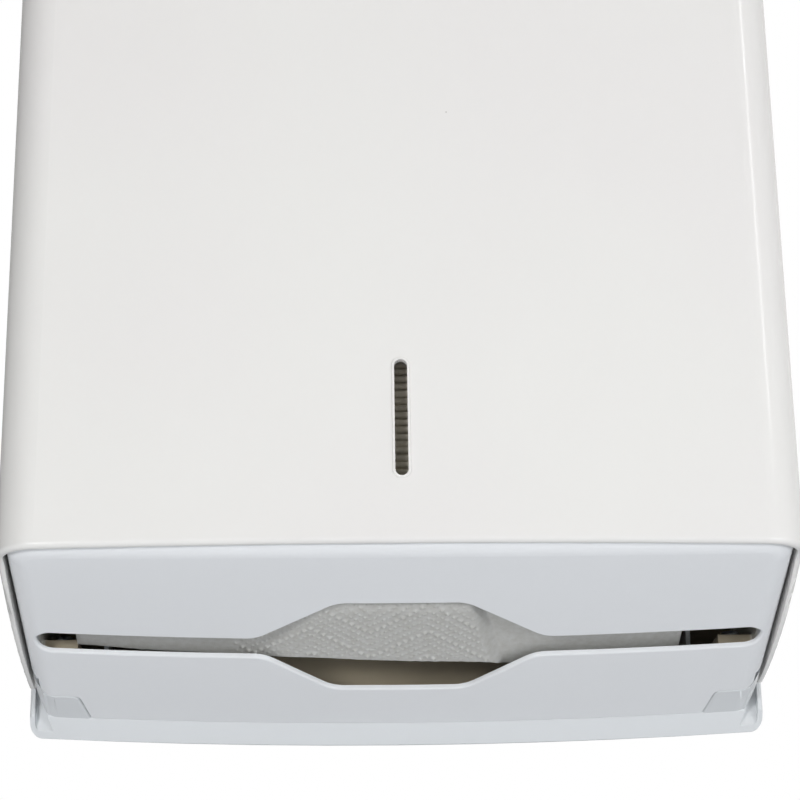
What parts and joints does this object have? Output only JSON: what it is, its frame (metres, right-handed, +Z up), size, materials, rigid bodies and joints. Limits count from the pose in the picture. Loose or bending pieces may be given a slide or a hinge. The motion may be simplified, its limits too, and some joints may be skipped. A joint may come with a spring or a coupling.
{
  "type": "folded paper towel dispenser",
  "caption": "Wall-mounted dispenser for folded paper towels, with a hinged lockable cover, a sight window and a slanted mouth panel below from which the towels are pulled.",
  "frame": {"origin": "centre of the four wall screw holes, on the back face that lies on the wall", "axes": "+X to the right as the user sees it, +Y into the wall, +Z up"},
  "size_m": [0.27, 0.1175, 0.2818],
  "materials": {
    "cover": "gloss",
    "base": "gloss",
    "panel": "gloss",
    "panel_screws": "zinc plated",
    "hinge_pins": "bright",
    "lock_barrel": "polished",
    "lock_plug": "polished",
    "lock_cam": "zinc plated",
    "lock_fixings": "zinc plated",
    "towels": "embossed paper"
  },
  "bodies": {
    "base": {"back_plate": "base", "mouth_panel": "panel", "panel_screws": "panel_screws", "hinge_pin_left": "hinge_pins", "hinge_pin_right": "hinge_pins", "bottom_leaf": "towels", "towel_stack": "towels"},
    "cover": {"front_cover": "cover", "lock_barrel": "lock_barrel", "lock_nut": "lock_fixings", "lock_washer": "lock_fixings"},
    "lock": {"lock_plug": "lock_plug", "lock_cam": "lock_cam", "cam_screw": "lock_fixings"}
  },
  "joints": [
    {"name": "cover_hinge", "type": "hinge", "parent": "base", "child": "cover", "pos_m": [0, -0.012, -0.119], "axis": [1, 0, 0], "range_deg": [0, 80]},
    {"name": "lock_turn", "type": "hinge", "parent": "cover", "child": "lock", "pos_m": [0, -0.032, 0.12], "axis": [0, 0, -1], "range_deg": [0, 90]}
  ]
}
